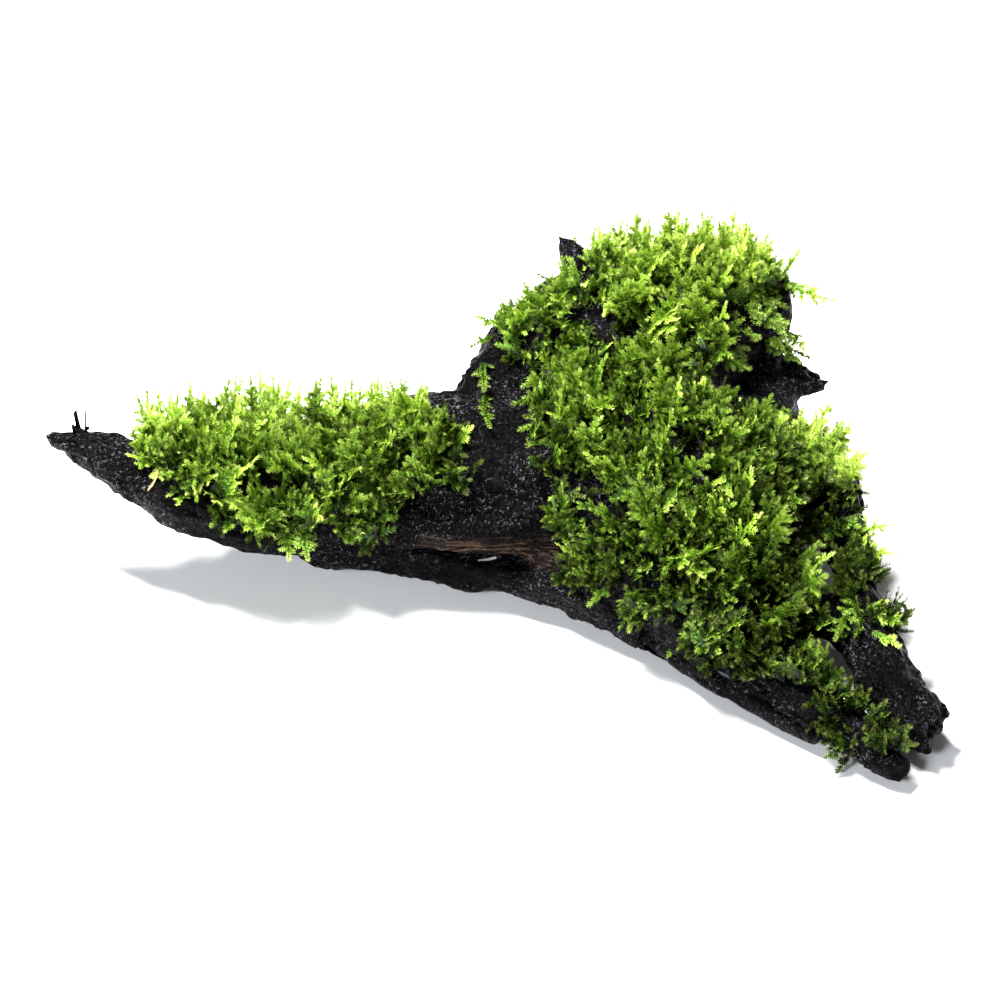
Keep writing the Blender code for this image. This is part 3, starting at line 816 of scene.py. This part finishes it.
    patch = add(tree, "ShaderNodeTexNoise", {"Vector": position, "Scale": PATCH_SCALE, "Detail": 1.0})
    tuft = add(tree, "ShaderNodeTexNoise", {"Vector": position, "Scale": TUFT_SCALE, "Detail": 0.0})
    place = add(tree, "ShaderNodeSeparateXYZ", {0: position}).outputs
    # Painted light and shade: moss higher up and further left is made brighter, lower and further right
    # darker, as if lit from above and the left.
    height = maths(tree, "SUBTRACT", place[2], HEIGHT_MIDDLE * MM)
    leftward = maths(tree, "SUBTRACT", LEFT_START * MM, place[0])
    # Short, weak shoots get a darker tone: partly older moss, partly painted shade under the longer shoots.
    shade = plus_share(tree, random_value(tree, *OWN_TONE, 8), wish, LENGTH_TONE_AND_SHADE)
    shade = plus_share(tree, shade, vigour, VIGOUR_TONE_AND_SHADE)
    shade = plus_share(tree, shade, patch.outputs[0], PATCH_TONE)
    shade = plus_share(tree, shade, maths(tree, "SUBTRACT", tuft.outputs[0], TUFT_MIDDLE), TUFT_TONE)
    shade = plus_share(tree, shade, height, HEIGHT_PAINTED_LIGHT)
    painted_side_light_and_shade = maths(tree, "MAXIMUM", maths(tree, "MULTIPLY", leftward, LEFT_PAINTED_LIGHT), RIGHT_PAINTED_SHADE)
    shade = held_between(tree, maths(tree, "ADD", shade, painted_side_light_and_shade), 0.0, 1.0)
    marked = add(tree, "GeometryNodeStoreNamedAttribute", {
        "Geometry": grown.outputs[0], "Name": "shade", "Value": shade},
        data_type="FLOAT", domain="INSTANCE")
    real = add(tree, "GeometryNodeRealizeInstances", {"Geometry": marked.outputs[0]})

    leaf_map = add(tree, "GeometryNodeInputNamedAttribute", {"Name": "leaf"}, data_type="FLOAT_VECTOR")
    parts = add(tree, "ShaderNodeSeparateXYZ", {0: pick(leaf_map.outputs, "Attribute")})
    kept = add(tree, "GeometryNodeInputNamedAttribute", {"Name": "shade"}, data_type="FLOAT")
    u = maths(tree, "ADD", maths(tree, "MULTIPLY", pick(kept.outputs, "Attribute"), SHADE_SHARE),
              maths(tree, "MULTIPLY", parts.outputs[0], LEAF_SHARE))
    coat = add(tree, "GeometryNodeStoreNamedAttribute", {
        "Geometry": real.outputs[0], "Name": "OFBake",
        "Value": add(tree, "ShaderNodeCombineXYZ", {0: u, 1: parts.outputs[1]}).outputs[0]},
        data_type="FLOAT2", domain="CORNER")

    done = add(tree, "GeometryNodeSetMaterial", {"Geometry": coat.outputs[0], "Material": leaf})
    add(tree, "NodeGroupOutput", {"Moss": done.outputs[0]})
    return tree


def place_along(line, at):
    """The place a share of the way along a line of places."""
    at = at * (len(line) - 1)
    step = min(int(at), len(line) - 2)
    return Vector(line[step]).lerp(Vector(line[step + 1]), at - step)


def fringe_shoots():
    """The shoots of every fringe, each with its piece, foot, tip and brightness."""
    dice = random.Random(5)
    shoots = []
    for owner, feet, tips, count, shade in FRINGES:
        for i in range(count):
            at = (i + dice.random()) / count
            foot = place_along(feet, at) + Vector((dice.uniform(-2, 2), dice.uniform(-3, 3), 0))
            tip = foot.lerp(place_along(tips, at), dice.uniform(0.72, 1.06))
            tip += Vector((dice.uniform(-2.8, 2.8), dice.uniform(-2, 2), 0))
            shoots.append((owner, foot, tip, shade + dice.uniform(-0.3, 0.2)))
    return shoots


def add_single_shoots(piece, node, bark):
    """Joins the single shoots that belong to a moss piece, each rooted on the nearest wood."""
    work = bmesh.new()
    work.from_mesh(piece.data)
    for number, (owner, foot, tip, shade) in enumerate(list(STRAYS) + fringe_shoots()):
        if owner != node:
            continue
        foot = bark.find_nearest(Vector(foot) * MM)[0] / MM
        run = Vector(tip) - foot
        sample = shoot_mesh("single", run.length, 100 + number, 0.45 + 0.5 * shade, 0.25)
        spots = sample.uv_layers["leaf"]
        values = np.empty(len(spots.data) * 2, dtype=np.float32)
        spots.data.foreach_get("uv", values)
        values = values.reshape(-1, 2)
        values[:, 0] = shade * SHADE_SHARE + values[:, 0] * LEAF_SHARE
        spots.data.foreach_set("uv", values.ravel())
        spots.name = "OFBake"
        up = run.normalized()
        viewer = Vector((0, -0.75, 0.65))
        out = (viewer - up * up.dot(viewer)).normalized()
        frame_of_shoot = Matrix((out.cross(up), out, up)).transposed().to_4x4()
        sample.transform(Matrix.Translation(foot * MM) @ frame_of_shoot)
        work.from_mesh(sample)
        bpy.data.meshes.remove(sample)
    work.to_mesh(piece.data)
    work.free()
    leaf = piece.data.materials[-1]
    piece.data.materials.clear()
    piece.data.materials.append(leaf)
    piece.data.polygons.foreach_set("material_index", [0] * len(piece.data.polygons))


def grow_moss(name, tree, wood, seed, spacing):
    """The moss of one CAD cushion as a plain mesh."""
    bed = joined_nodes((name,))
    growth = bed.modifiers.new("growth", "NODES")
    growth.node_group = tree
    named = {item.name: item.identifier for item in tree.interface.items_tree if item.in_out == "INPUT"}
    growth[named["Wood"]] = wood
    growth[named["Spacing"]] = spacing * MM
    growth[named["Seed"]] = seed
    mesh = settled(bed)
    discard(bed)
    mesh.name = name.replace("moss", "shoots")
    for extra in ("leaf", "shade"):
        if extra in mesh.attributes:
            mesh.attributes.remove(mesh.attributes[extra])
    mesh.shade_flat()
    return new_object(mesh.name, mesh)


# Materials.

def ramp(tree, value, stops, ease="LINEAR"):
    """A colour for a value from 0 to 1."""
    node = add(tree, "ShaderNodeValToRGB", {0: value})
    node.color_ramp.interpolation = ease
    marks = node.color_ramp.elements
    while len(marks) < len(stops):
        marks.new(0.5)
    for mark, (place, colour) in zip(marks, stops):
        mark.position = place
        mark.color = (*colour, 1.0)
    return node.outputs[0]


def new_material(name):
    material = bpy.data.materials.new(name)
    material.use_nodes = True
    material.node_tree.nodes.clear()
    return material


def leaf_material():
    """Moss leaves: dark at the root, partly old moss and partly painted shade deep in the mat, yellow-green
    at the young tips, and a little light passes through. The shoot's tone carries painted light and shade
    too.
    """
    material = new_material("moss leaf")
    tree = material.node_tree
    where = add(tree, "ShaderNodeUVMap", uv_map="OFBake").outputs[0]
    parts = add(tree, "ShaderNodeSeparateXYZ", {0: where})
    # Along the shoot: old dark green, near black as painted shade deep in the mat, to bright young tips.
    age_and_shade = ramp(tree, parts.outputs[1], (
        (0.00, (0.006, 0.008, 0.002)), (0.22, (0.020, 0.044, 0.003)), (0.45, (0.092, 0.195, 0.010)),
        (0.72, (0.320, 0.490, 0.050)), (1.00, (0.680, 0.800, 0.260))))
    # Tone multiplier: carries the shoot's painted light and shade, from near black to brighter than the
    # leaf.
    tone_and_painted_light = ramp(tree, parts.outputs[0], (
        (0.00, (0.06, 0.04, 0.03)), (0.25, (0.18, 0.20, 0.13)), (0.50, (0.62, 0.70, 0.52)),
        (0.75, (1.15, 1.10, 1.00)), (1.00, (1.60, 1.35, 1.60))))
    grain = add(tree, "ShaderNodeTexNoise", {"Vector": where, "Scale": 38.0, "Detail": 3.0})
    colour = add(tree, "ShaderNodeMix", {6: age_and_shade, 7: tone_and_painted_light, "Factor": 1.0},
                 data_type="RGBA", blend_type="MULTIPLY")
    speckled = maths(tree, "MULTIPLY", grain.outputs[0], 0.3)
    speck = add(tree, "ShaderNodeMix", {6: colour.outputs[2], 7: (0.7, 0.8, 0.5, 1.0), "Factor": speckled},
                data_type="RGBA", blend_type="MULTIPLY")
    rough = add(tree, "ShaderNodeMapRange", {"Value": grain.outputs[0], "To Min": 0.42, "To Max": 0.68})
    bump = add(tree, "ShaderNodeBump", {"Height": grain.outputs[0], "Strength": 0.25, "Distance": 0.3 * MM})
    skin = add(tree, "ShaderNodeBsdfPrincipled", {
        "Base Color": speck.outputs[2], "Roughness": rough.outputs[0], "Normal": bump.outputs[0]})
    skin.inputs["Specular IOR Level"].default_value = 0.2
    glow = add(tree, "ShaderNodeBsdfTranslucent", {"Color": speck.outputs[2]})
    mixed = add(tree, "ShaderNodeMixShader", {0: 0.2, 1: skin.outputs[0], 2: glow.outputs[0]})
    add(tree, "ShaderNodeOutputMaterial", {"Surface": mixed.outputs[0]})
    return material


def near_line(tree, where, line, reach):
    """1 on a line between two places in millimetres, falling to 0 at the reach."""
    low, high = Vector(line[0]) * MM, Vector(line[1]) * MM
    run = high - low
    from_low = vectors(tree, "SUBTRACT", where, tuple(low))
    at = maths(tree, "DIVIDE", vectors(tree, "DOT_PRODUCT", from_low, tuple(run)), run.length_squared)
    nearest = vectors(tree, "SCALE", tuple(run), scale=held_between(tree, at, 0.0, 1.0))
    off = vectors(tree, "LENGTH", vectors(tree, "SUBTRACT", from_low, nearest))
    near = maths(tree, "SUBTRACT", 1.0, maths(tree, "DIVIDE", off, reach * MM))
    return maths(tree, "MAXIMUM", near, 0.0)


def tinted(tree, colour, tint, share):
    """The colour with a share of the tint mixed in."""
    node = add(tree, "ShaderNodeMix", {6: colour, 7: (*tint, 1.0), "Factor": share}, data_type="RGBA")
    return node.outputs[2]


def wood_material():
    """Wet black wood with small glints on its wrinkles painted into its colour, a painted highlight along
    the strip's rim, a brown ledge, and the pale marks on its front.
    """
    material = new_material("wet black wood")
    tree = material.node_tree
    where = add(tree, "ShaderNodeTexCoord").outputs["Object"]
    broad = add(tree, "ShaderNodeTexNoise", {"Vector": where, "Scale": 60.0, "Detail": 5.0})
    grain = add(tree, "ShaderNodeTexNoise", {
        "Vector": where, "Scale": 900.0, "Detail": 4.0, "Roughness": 0.65, "Distortion": 0.6})
    pores = add(tree, "ShaderNodeTexVoronoi", {"Vector": where, "Scale": 700.0})
    colour = ramp(tree, broad.outputs[0], (
        (0.30, (0.0006, 0.0005, 0.0006)), (0.52, (0.0013, 0.0011, 0.0012)),
        (0.66, (0.0028, 0.0023, 0.0023)), (0.80, (0.0070, 0.0054, 0.0048))))
    streaks = add(tree, "ShaderNodeTexNoise", {
        "Vector": vectors(tree, "MULTIPLY", where, (0.12, 1.0, 1.6)), "Scale": 900.0, "Detail": 3.0})
    streak = add(tree, "ShaderNodeMapRange", {
        "Value": streaks.outputs[0], "From Min": 0.50, "From Max": 0.64, "To Min": 0.06, "To Max": 1.3})
    dry = maths(tree, "MULTIPLY", near_line(tree, where, LEDGE, 6.0), streak.outputs[0])
    colour = tinted(tree, colour, (0.070, 0.042, 0.026), dry)
    # Painted glints: bright bluish-grey specks, mixed into the colour in patches, stand in for the
    # highlights on the wet wood.
    painted_glint_noise = add(tree, "ShaderNodeTexNoise", {
        "Vector": where, "Scale": 1150.0, "Detail": 2.0, "Roughness": 0.6, "Distortion": 1.2})
    painted_glint_spots = add(tree, "ShaderNodeMapRange", {
        "Value": painted_glint_noise.outputs[0], "From Min": 0.60, "From Max": 0.68, "To Min": 0.0, "To Max": 1.0})
    painted_glint_patches = add(tree, "ShaderNodeMapRange", {
        "Value": broad.outputs[0], "From Min": 0.42, "From Max": 0.60, "To Min": 0.10, "To Max": 1.0})
    painted_glint = maths(tree, "MULTIPLY", painted_glint_spots.outputs[0], painted_glint_patches.outputs[0])
    colour = tinted(tree, colour, (0.104, 0.108, 0.122), painted_glint)
    # Painted highlight: a pale bluish line along the strip's rim stands in for the light caught on its
    # edge.
    painted_rim_highlight = maths(tree, "GREATER_THAN", near_line(tree, where, SLIVER_RIM_HIGHLIGHT, 1.0), 0.4)
    colour = tinted(tree, colour, (0.130, 0.135, 0.150), maths(tree, "MULTIPLY", painted_rim_highlight, 0.6))
    colour = tinted(tree, colour, (0.50, 0.47, 0.44),
                    maths(tree, "GREATER_THAN", near_line(tree, where, SCRAPE, 1.0), 0.55))
    colour = tinted(tree, colour, (0.50, 0.36, 0.15),
                    maths(tree, "GREATER_THAN", near_line(tree, where, STRAW, 1.2), 0.45))
    height = maths(tree, "ADD", grain.outputs[0], maths(tree, "MULTIPLY", pores.outputs[0], 0.6))
    bump = add(tree, "ShaderNodeBump", {"Height": height, "Strength": 0.9, "Distance": 1.0 * MM})
    rough = add(tree, "ShaderNodeMapRange", {
        "Value": grain.outputs[0], "From Min": 0.3, "From Max": 0.7, "To Min": 0.16, "To Max": 0.38})
    skin = add(tree, "ShaderNodeBsdfPrincipled", {
        "Base Color": colour, "Roughness": rough.outputs[0], "Normal": bump.outputs[0]})
    skin.inputs["Specular IOR Level"].default_value = 0.025
    add(tree, "ShaderNodeOutputMaterial", {"Surface": skin.outputs[0]})
    return material


def floor_material():
    material = new_material("pale floor")
    tree = material.node_tree
    where = add(tree, "ShaderNodeTexCoord").outputs["Object"]
    cloud = add(tree, "ShaderNodeTexNoise", {"Vector": where, "Scale": 2.0})
    colour = ramp(tree, cloud.outputs[0], ((0.3, (0.86, 0.86, 0.86)), (0.7, (0.89, 0.89, 0.89))))
    skin = add(tree, "ShaderNodeBsdfPrincipled", {"Base Color": colour, "Roughness": 0.9})
    skin.inputs["Specular IOR Level"].default_value = 0.1
    add(tree, "ShaderNodeOutputMaterial", {"Surface": skin.outputs[0]})
    return material


# The studio.

def lay_floor():
    half = FLOOR_HALF * MM
    mesh = bpy.data.meshes.new("floor")
    corners = [(-half, -half, 0), (half, -half, 0), (half, half, 0), (-half, half, 0)]
    mesh.from_pydata(corners, [], [(0, 1, 2, 3)])
    mesh.materials.append(floor_material())
    floor = new_object("floor", mesh)
    floor.location.z = -FLOOR_DROP * MM


def softbox(name, place, watts, colour=(1, 1, 1)):
    """A square soft light at a place in millimetres, aimed at the piece."""
    light = bpy.data.lights.new(name, "AREA")
    light.size = SOFTBOX * MM
    light.energy = watts
    light.color = colour
    lamp = bpy.data.objects.new(name, light)
    bpy.context.scene.collection.objects.link(lamp)
    lamp.location = Vector(place) * MM
    lamp.rotation_euler = (AIM - Vector(place)).to_track_quat("-Z", "Y").to_euler()


def light_studio():
    softbox("top light", TOP_LIGHT, TOP_WATTS)
    softbox("front light", FRONT_LIGHT, FRONT_WATTS, (0.92, 0.96, 1.0))
    world = bpy.data.worlds.new("studio")
    world.use_nodes = True
    sky = world.node_tree.nodes["Background"]
    sky.inputs["Color"].default_value = (1, 1, 1, 1)
    sky.inputs["Strength"].default_value = ROOM_LIGHT
    scene = bpy.context.scene
    scene.world = world
    scene.view_settings.view_transform = "Standard"


def place_camera():
    camera = bpy.data.objects.new("camera", bpy.data.cameras.new("camera"))
    bpy.context.scene.collection.objects.link(camera)
    camera.data.lens = LENS
    camera.data.clip_end = SEES_AS_FAR_AS * MM
    tilt = math.radians(CAMERA_HEIGHT_DEG)
    back = Vector((0, -math.cos(tilt), math.sin(tilt)))
    camera.location = (AIM + back * CAMERA_DISTANCE) * MM
    camera.rotation_euler = (-back).to_track_quat("-Z", "Y").to_euler()
    bpy.context.scene.camera = camera


# Putting it together.

BODY = [name for name in WOOD_NODES if name != "driftwood_front_sliver"]
skin = fine_skin(BODY, SKIN_VOXEL, SKIN_SMOOTHING)
raise_grain(skin, True)
wood = new_object("whole_wood", skin)
strip = fine_skin(["driftwood_front_sliver"], SLIVER_VOXEL, SLIVER_SMOOTHING)
raise_grain(strip, False)
strip.shade_smooth()
strip.name = "wood_front_sliver"
logs = dict(zip(BODY, wood_pieces(skin, BODY)))
logs["driftwood_front_sliver"] = new_object(strip.name, strip)
add_splinters(logs["driftwood_left_arm"])
add_straw(logs["driftwood_left_arm"])
bark = wood_material()
for node, piece in logs.items():
    piece.data.materials.append(bark)
    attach(piece, "root")
    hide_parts(node)

leaf = leaf_material()
bark_tree = BVHTree.FromPolygons([vert.co for vert in skin.vertices],
                                 [list(face.vertices) for face in skin.polygons])
kinds = shoot_collection()
tree = moss_tree(kinds, leaf)
for seed, node in enumerate(MOSS_NODES):
    piece = grow_moss(node, tree, wood, seed, SHOOT_SPACING)
    add_single_shoots(piece, node, bark_tree)
    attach(piece, "root")
    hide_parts(node)
discard(wood)
for sample in list(kinds.objects):
    discard(sample)
bpy.data.collections.remove(kinds)

lay_floor()
light_studio()
place_camera()
